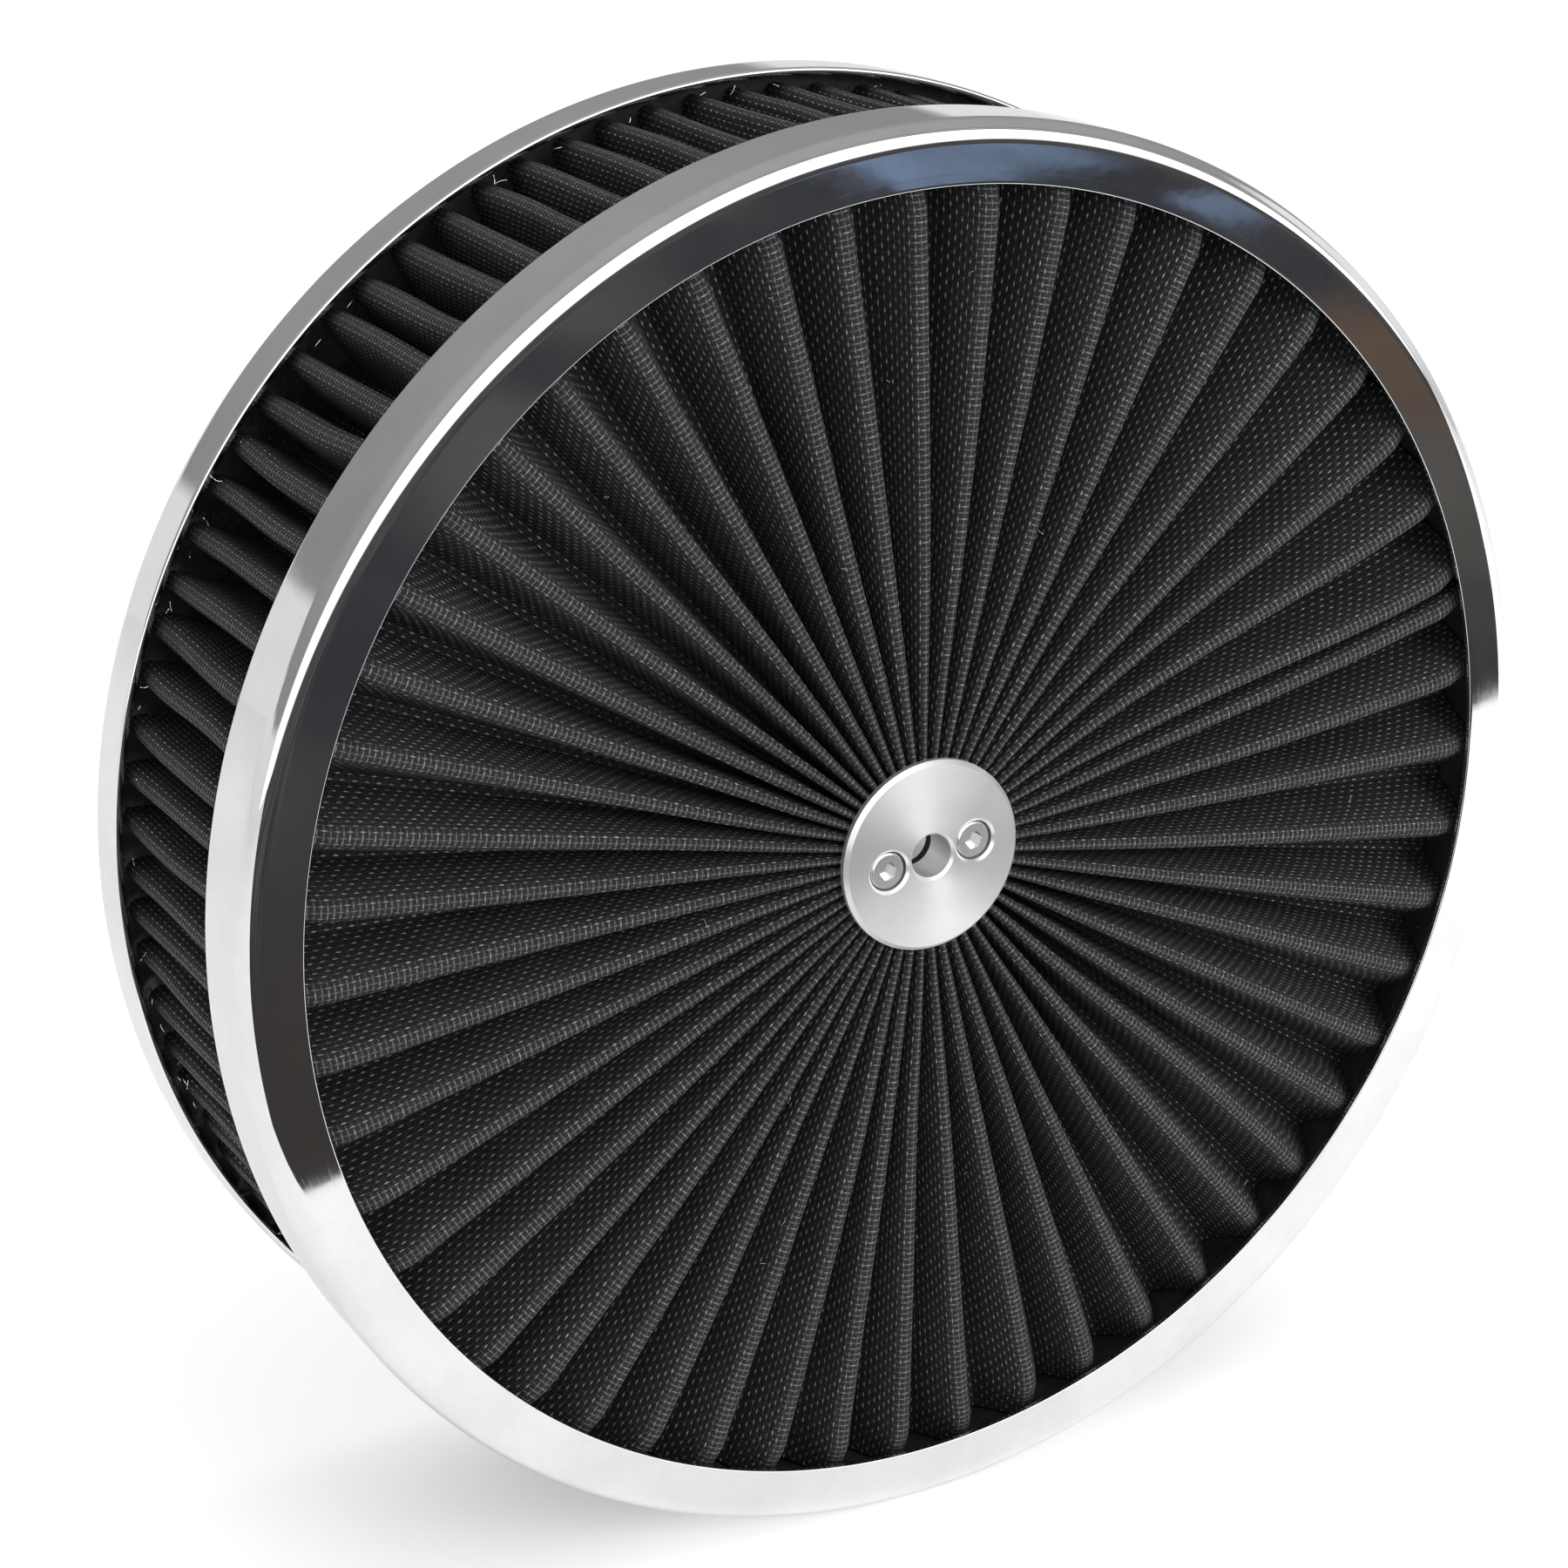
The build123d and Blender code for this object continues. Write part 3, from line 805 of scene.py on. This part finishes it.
class Finish:
    """A material under construction: its tree, its shader and a few short cuts."""

    def __init__(self, name, **constants):
        self.material = bpy.data.materials.new(name)
        self.material.use_nodes = True
        self.tree = self.material.node_tree
        self.shader = self.tree.nodes["Principled BSDF"]
        for socket, value in constants.items():
            self.shader.inputs[socket.replace("_", " ")].default_value = value
        self.place = self.tree.nodes.new("ShaderNodeTexCoord").outputs["Object"]

    def link(self, start, end):
        self.tree.links.new(start, end)

    def noise(self, scale, detail=2.0, stretch=None, rough=0.5):
        """Noise with about scale blotches a metre."""
        node = self.tree.nodes.new("ShaderNodeTexNoise")
        node.inputs["Scale"].default_value = scale
        node.inputs["Detail"].default_value = detail
        node.inputs["Roughness"].default_value = rough
        vector = self.place
        if stretch:
            mapping = self.tree.nodes.new("ShaderNodeMapping")
            mapping.inputs["Scale"].default_value = stretch
            self.link(vector, mapping.inputs["Vector"])
            vector = mapping.outputs["Vector"]
        self.link(vector, node.inputs["Vector"])
        return Signal(self.tree, node.outputs["Fac"])

    def mix(self, share, first, second):
        return blend_colours(self.tree, share, first, second)

    def between(self, share, name):
        """Colour between the two that COLOURS holds under the name."""
        return self.mix(share, *COLOURS[name])

    def rings(self, scale):
        """Noise in fine lines that run round the axis."""
        x, y, z = self.parts_of(self.place)
        node = self.tree.nodes.new("ShaderNodeTexNoise")
        node.noise_dimensions = "1D"
        node.inputs["Scale"].default_value = scale
        node.inputs["Detail"].default_value = 3.0
        outline = (x * x + z * z).math("SQRT") + y
        self.link(outline.socket, node.inputs["W"])
        return Signal(self.tree, node.outputs["Fac"])

    def uv(self, layer):
        node = self.tree.nodes.new("ShaderNodeUVMap")
        node.uv_map = layer
        return node.outputs["UV"]

    def parts_of(self, vector):
        node = self.tree.nodes.new("ShaderNodeSeparateXYZ")
        self.link(vector, node.inputs[0])
        return [Signal(self.tree, out) for out in node.outputs]

    def bump(self, height, distance, strength=1.0, under=None):
        node = self.tree.nodes.new("ShaderNodeBump")
        node.inputs["Distance"].default_value = distance
        node.inputs["Strength"].default_value = strength
        self.link(height.socket, node.inputs["Height"])
        if under is not None:
            self.link(under, node.inputs["Normal"])
        return node.outputs["Normal"]

    def set(self, socket, value):
        self.link(value.socket if isinstance(value, Signal) else value, self.shader.inputs[socket])


def woven_wire():
    """Plain weave of black coated wire lying on dark gauze; one uv unit is one wire.

    Wires across the pleats carry a painted highlight on the crests; down the walls only the
    raised bits of the wires along the pleats do. Gauze and wires are painted lighter on the
    crests as light, and darker down the walls and into the valleys as shade.
    """
    finish = Finish("coated_wire_weave", Specular_IOR_Level=0.2, Roughness=0.4)
    u, v, _ = finish.parts_of(finish.uv("weave"))
    steep, down, _ = finish.parts_of(finish.uv("slope"))
    # crest: 1 on the flat tops of the pleats, 0 down the walls and in the valleys; it picks
    # painted light or painted shade.
    crest = steep.inverted().ramp(0.0, 0.95) * down.inverted().ramp(0.35, 0.6)
    i, j = u.math("ROUND"), v.math("ROUND")
    a, b = u - i, v - j
    sign = (i + j).math("PINGPONG", 1.0) * -2.0 + 1.0
    lift_along = sign * (b * math.pi).math("COSINE")
    lift_across = sign * (a * math.pi).math("COSINE") * -1.0

    def wire(offset, lift):
        """Height of one wire in wire half-widths, well below zero beside it."""
        inside = (offset / WIRE_HALF).math("POWER", 2.0) * -1.0 + 1.0
        round_top = inside.math("MAXIMUM", 0.0).math("SQRT")
        beside = inside.math("LESS_THAN", 0.0) * -4.0
        return round_top + lift * 0.95 + beside

    along, across = wire(a, lift_along), wire(b, lift_across)
    fuzz = finish.noise(5200, 2.0)
    floor = fuzz * 0.5 - 1.9
    height = along.math("MAXIMUM", across).math("MAXIMUM", floor)
    along_on_top = (along - across).math("GREATER_THAN", 0.0)
    along_shows = along.math("GREATER_THAN", floor) * along_on_top
    across_shows = across.math("GREATER_THAN", floor) * along_on_top.inverted()
    patches = finish.noise(90, 3.0).ramp(0.3, 0.7)
    # fine: specks where the painted glints on the wires are brightest.
    fine = finish.noise(1400, 1.0).ramp(0.3, 0.72)
    fluff = fuzz.ramp(0.3, 0.75)
    # Gauze: painted shade down the walls, painted light on the crests; fluff is the cloth's own
    # tone.
    shaded_wall_gauze = finish.between(fluff, "shaded_wall_gauze")
    gauze = finish.mix(crest, shaded_wall_gauze, finish.between(fluff, "lit_crest_gauze"))
    # Wires down the walls: painted shade; patches is their own tone.
    wall_line = finish.between(patches, "shaded_wall_wire")
    # Raised tops of the wires along the pleats: painted highlight; their lower parts painted
    # shade.
    along_top_highlight = along.ramp(0.9, 1.8)
    along_wall = finish.mix(along_top_highlight, wall_line, finish.between(fine, "wall_painted_glint"))
    along_crest = finish.between(along_top_highlight, "lit_crest_wire")
    along_colour = finish.mix(crest, along_wall, along_crest)
    # Painted glints on the wires across the crests.
    crest_painted_glint = finish.between(fine, "crest_painted_glint")
    # Wires across the crests: painted shade low down, painted highlight on top.
    across_crest = finish.mix(across.ramp(-0.4, 1.7), CREST_WIRE_SHADED_LOW, crest_painted_glint)
    across_colour = finish.mix(crest, wall_line, across_crest)
    colour = finish.mix(along_shows, gauze, along_colour)
    finish.set("Base Color", finish.mix(across_shows, colour, across_colour))
    finish.set("Roughness", (along_shows + across_shows) * -0.5 + 0.92)
    cloth = finish.bump(finish.noise(330, 2.0), 0.0003, 0.5)
    finish.set("Normal", finish.bump(height, WIRE_PITCH * WIRE_HALF * MM, 0.7, cloth))
    return finish.material


def cotton_gauze():
    finish = Finish("oiled_cotton_gauze", Roughness=0.95, Sheen_Weight=0.3)
    u, v, _ = finish.parts_of(finish.uv("weave"))
    warp = (u * (4 * math.pi)).math("SINE")
    weft = (v * (4 * math.pi)).math("SINE")
    threads = warp.math("MAXIMUM", weft)
    fibres = finish.noise(3000, 4.0)
    tone = (threads * 0.5 + fibres).ramp(-0.2, 1.2)
    finish.set("Base Color", finish.between(tone, "oiled_gauze"))
    finish.set("Normal", finish.bump(threads + fibres, 0.0001))
    return finish.material


def chrome():
    finish = Finish("polished_chrome", Metallic=1.0)
    stains = finish.noise(55, 4.0, rough=0.6)
    specks = finish.noise(900, 2.0)
    lines = finish.rings(2600)
    tone = stains * 0.75 + lines * 0.13 + specks * 0.12
    finish.set("Base Color", finish.between(tone.ramp(0.3, 0.7), "chrome"))
    marks = stains.ramp(0.35, 0.8) * 0.05 + specks.ramp(0.6, 0.8) * 0.03
    finish.set("Roughness", marks + lines.ramp(0.5, 0.8) * 0.02 + 0.025)
    wave = finish.bump(finish.noise(38, 1.0), 0.00006)
    finish.set("Normal", finish.bump(finish.noise(420, 1.0), 0.000002, under=wave))
    return finish.material


def urethane():
    finish = Finish("cast_urethane", Specular_IOR_Level=0.5)
    mottle = finish.noise(240, 4.0)
    pits = finish.noise(1500, 1.0)
    finish.set("Base Color", finish.between(mottle, "urethane"))
    finish.set("Roughness", mottle.ramp(0.3, 0.7) * 0.25 + 0.38)
    finish.set("Normal", finish.bump(mottle + pits.ramp(0.62, 0.75), 0.00012))
    return finish.material


def soft_rubber(name, pale):
    """Fine-celled black rubber; pale is the grey of its worn patches."""
    finish = Finish(name, Specular_IOR_Level=0.3)
    cells = finish.noise(2600, 3.0)
    wear = finish.noise(120, 3.0)
    finish.set("Base Color", finish.mix(wear, RUBBER_DARK, (pale, pale, pale)))
    finish.set("Roughness", cells * 0.3 + 0.6)
    finish.set("Normal", finish.bump(cells, 0.00008))
    return finish.material


def turned_aluminium():
    """Lathe-turned face: fine rings round the axis, streaked highlights like a cone of light."""
    finish = Finish("turned_aluminium", Metallic=1.0, Anisotropic=0.8, Anisotropic_Rotation=0.25)
    groove = finish.rings(9000)
    haze = finish.noise(160, 4.0)
    tone = groove * 0.6 + haze * 0.4
    finish.set("Base Color", finish.between(tone.ramp(0.3, 0.7), "aluminium"))
    finish.set("Roughness", groove * 0.08 + haze * 0.05 + 0.30)
    finish.set("Normal", finish.bump(groove, 0.0000012))
    tangent = finish.tree.nodes.new("ShaderNodeTangent")
    tangent.direction_type = "RADIAL"
    tangent.axis = "Y"
    finish.set("Tangent", tangent.outputs["Tangent"])
    return finish.material


def bright_steel(name, dark, light, roughness):
    finish = Finish(name, Metallic=1.0)
    grain = finish.noise(1300, 1.0, (1, 9, 1))
    cloud = finish.noise(120, 2.0)
    finish.set("Base Color", finish.mix(cloud, (dark,) * 3, (light,) * 3))
    finish.set("Roughness", grain * 0.03 + cloud * 0.04 + roughness)
    finish.set("Normal", finish.bump(grain, 0.000001))
    return finish.material


def pale_fibre():
    finish = Finish("pale_fibre", Roughness=0.8)
    tone = finish.noise(4000, 2.0)
    finish.set("Base Color", finish.between(tone, "lint"))
    finish.set("Normal", finish.bump(tone, 0.00002))
    return finish.material


def all_materials():
    return {
        "coated_wire": woven_wire(),
        "cotton_gauze": cotton_gauze(),
        "chrome": chrome(),
        "urethane": urethane(),
        "seal_rubber": soft_rubber("seal_rubber", 0.05),
        "washer_rubber": soft_rubber("washer_rubber", 0.03),
        "hub_aluminium": turned_aluminium(),
        "screw_steel": bright_steel("screw_steel", 0.70, 0.85, 0.22),
        "seam_metal": bright_steel("seam_metal", 0.6, 0.78, 0.25),
        "bare_wire": bright_steel("bare_wire", 0.7, 0.95, 0.2),
        "lint": pale_fibre(),
    }


def dress_cad_nodes():
    """Gives each CAD node that stays in view the material of its slot."""
    for row in frame["record"]["subparts"]:
        node = frame["nodes"][row["node"]]
        if node.hide_render:
            continue
        material = materials[row["material_slot"]]
        if not node.material_slots:
            node.data.materials.append(material)
        for place in node.material_slots:
            place.material = material


# ---------------------------------------------------------------- stage


def floor_material():
    """Pale floor, white to the camera; on the left, the light it gives the object is dimmer."""
    finish = Finish("pale_floor", Roughness=0.9, Emission_Color=(0.9, 0.9, 0.9, 1))
    grain = finish.noise(7, 2.0)
    finish.set("Base Color", finish.between(grain, "floor"))
    rays = finish.tree.nodes.new("ShaderNodeLightPath")
    seen = Signal(finish.tree, rays.outputs["Is Camera Ray"])
    left = finish.parts_of(finish.place)[0].ramp(-0.25, 0.02).inverted() * FLOOR_LEFT_DIMMER
    finish.set("Emission Strength", (left + FLOOR_GLOW_SEEN) * seen + left * -1.0 + FLOOR_GLOW)
    return finish.material


def flat_stage(name, corners, height, material):
    mesh = bpy.data.meshes.new(name)
    mesh.from_pydata([(x, y, height) for x, y in corners], [], [tuple(range(len(corners)))])
    mesh.materials.append(material)
    piece = bpy.data.objects.new(name, mesh)
    bpy.context.scene.collection.objects.link(piece)
    return piece


def dark_room_material():
    """What the polished front sees past the edge of the white floor: a dim brown room."""
    finish = Finish("dim_room", Roughness=1.0, Base_Color=(0, 0, 0, 1), Specular_IOR_Level=0.0)
    x, y, _ = finish.parts_of(finish.place)
    away = y * -1.0
    blotches = finish.noise(7.0, 3.0, (1.5, 0.4, 1))
    dim = finish.between(blotches.ramp(0.35, 0.65), "dim_wall")
    brown = away.ramp(0.50, 0.56) * away.fall(0.64, 0.72) * x.ramp(0.42, 0.48)
    dim = finish.mix(brown, dim, ROOM_BROWN)
    near = finish.mix(away.ramp(0.25, 0.5), ROOM_NEAR, dim)
    wide = away.ramp(0.92, 0.95) * away.fall(1.07, 1.12) * x.ramp(0.515, 0.53)
    wide = wide * x.fall(0.615, 0.64)
    small = away.ramp(0.825, 0.84) * away.fall(0.865, 0.885) * x.ramp(0.60, 0.61)
    small = small * x.fall(0.635, 0.65)
    window = (wide + small * 0.7) * blotches.ramp(0.20, 0.44)
    finish.set("Emission Color", finish.mix(window, near, WINDOW_BLUE))
    finish.shader.inputs["Emission Strength"].default_value = 1.0
    return finish.material


def reflection_only(piece):
    """Shows the piece in reflections and nowhere else."""
    piece.visible_camera = False
    piece.visible_diffuse = False
    piece.visible_shadow = False
    piece.visible_transmission = False


def soft_light(name, place, size, power, target=OBJECT_MIDDLE):
    data = bpy.data.lights.new(name, "AREA")
    data.shape = "RECTANGLE"
    data.size, data.size_y = size
    data.energy = power
    light = bpy.data.objects.new(name, data)
    light.location = place
    light.rotation_mode = "QUATERNION"
    light.rotation_quaternion = (Vector(target) - Vector(place)).to_track_quat("-Z", "Y")
    light.visible_camera = False
    bpy.context.scene.collection.objects.link(light)
    return light


def build_stage():
    floor_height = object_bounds()[0].z
    reach = STAGE_REACH
    floor = ((-reach, -reach), (reach, -reach), (reach, reach), (-reach, reach))
    flat_stage("floor", floor, floor_height, floor_material())
    card = flat_stage("dim_room_card", DIM_ROOM, floor_height + CARD_LIFT, dark_room_material())
    reflection_only(card)

    studio_world()
    overhead = soft_light("overhead", (0.1, -0.3, 1.6), size=(1.4, 1.2), power=7)
    front = soft_light("front", (0.55, -1.25, 0.45), size=(0.7, 0.7), power=8)
    for light in (overhead, front):
        light.visible_glossy = False
    sheen = soft_light("hub_sheen", (0.28, -1.12, 0.34), (0.6, 0.6), 2.6, target=HUB)
    metal = bpy.data.collections.new("turned_metal")
    for node in ("hub_front_cap", "hub_screws"):
        metal.objects.link(frame["nodes"][node])
    sheen.light_linking.receiver_collection = metal


def room_seen_in_chrome(tree, direction):
    """Grey room over a white sweep, light on the far right, softbox and dim front."""
    split = tree.nodes.new("ShaderNodeSeparateXYZ")
    tree.links.new(direction, split.inputs[0])
    parts = [Signal(tree, out) for out in split.outputs]
    x, _, z = parts
    ragged = tree.nodes.new("ShaderNodeTexNoise")
    ragged.inputs["Scale"].default_value = 9.0
    ragged.inputs["Detail"].default_value = 3.0
    tree.links.new(direction, ragged.inputs["Vector"])
    edge = Signal(tree, ragged.outputs["Fac"])
    above_sweep = (z + edge * 0.12).ramp(0.19, 0.23)
    room = blend_colours(tree, z.ramp(0.1, 0.9), *COLOURS["room_by_height"])
    room = blend_colours(tree, above_sweep, SWEEP, room)
    flank = blend_colours(tree, z.ramp(-0.08, 0.14), *COLOURS["flank"])
    room = blend_colours(tree, x.ramp(0.88, 0.93), room, flank)
    beside_flank = x.fall(0.88, 0.93)
    forward = dot(parts, SOFTBOX_SIDE)
    gap = forward.ramp(0.22, 0.26) * above_sweep * beside_flank
    room = blend_colours(tree, gap, room, GAP)
    slit = gap * forward.ramp(0.285, 0.295) * forward.fall(0.315, 0.325)
    room = blend_colours(tree, slit, room, SLIT)
    room = blend_colours(tree, forward.ramp(0.37, 0.42) * beside_flank, room, SOFTBOX)
    dim_front = dot(parts, DIM_SIDE).ramp(0.47, 0.58) * beside_flank
    return blend_colours(tree, dim_front, room, DIM_FRONT)


def studio_world():
    """Even light all round, white to the camera; reflections see a room."""
    world = bpy.data.worlds.new("studio")
    bpy.context.scene.world = world
    world.use_nodes = True
    tree = world.node_tree
    direction = tree.nodes.new("ShaderNodeTexCoord").outputs["Generated"]
    rays = tree.nodes.new("ShaderNodeLightPath")
    glossy = Signal(tree, rays.outputs["Is Glossy Ray"])
    camera = Signal(tree, rays.outputs["Is Camera Ray"])
    light = blend_colours(tree, glossy, LIGHT_OF_ROOM, room_seen_in_chrome(tree, direction))
    light = blend_colours(tree, camera, light, WHITE)
    tree.links.new(light, tree.nodes["Background"].inputs["Color"])
    tree.nodes["Background"].inputs["Strength"].default_value = 1.0


def build_camera():
    data = bpy.data.cameras.new("photo_camera")
    data.lens = CAMERA_LENS
    data.sensor_width = SENSOR
    data.clip_start, data.clip_end = 0.01, 50
    camera = bpy.data.objects.new("photo_camera", data)
    azimuth, elevation = math.radians(CAMERA_AZIMUTH), math.radians(CAMERA_ELEVATION)
    level = math.cos(elevation)
    back = Vector((math.sin(azimuth) * level, -math.cos(azimuth) * level, math.sin(elevation)))
    camera.location = Vector(CAMERA_AIM) + back * CAMERA_DISTANCE
    camera.rotation_mode = "QUATERNION"
    camera.rotation_quaternion = (-back).to_track_quat("-Z", "Y")
    bpy.context.scene.collection.objects.link(camera)
    bpy.context.scene.camera = camera


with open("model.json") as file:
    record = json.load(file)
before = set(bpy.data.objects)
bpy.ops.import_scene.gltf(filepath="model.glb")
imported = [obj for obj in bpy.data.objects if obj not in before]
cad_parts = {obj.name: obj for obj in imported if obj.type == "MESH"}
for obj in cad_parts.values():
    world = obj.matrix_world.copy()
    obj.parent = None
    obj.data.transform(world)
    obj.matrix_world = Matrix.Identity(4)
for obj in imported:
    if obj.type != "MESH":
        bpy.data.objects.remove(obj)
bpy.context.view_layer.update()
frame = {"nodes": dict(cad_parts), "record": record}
materials = all_materials()

lid_layers(np.random.default_rng(SEED))
valleys = side_layers(np.random.default_rng(SEED + 1))
chrome_ring("front_chrome_ring", "front_ring", faces_front=True)
chrome_ring("rear_chrome_ring", "rear_ring", faces_front=False)
rear_potting(valleys)
soft_seal()
wire_ends(np.random.default_rng(SEED + 2))
lint(np.random.default_rng(SEED + 3))
dress_cad_nodes()
build_stage()
build_camera()

bpy.context.scene.view_settings.view_transform = "Standard"
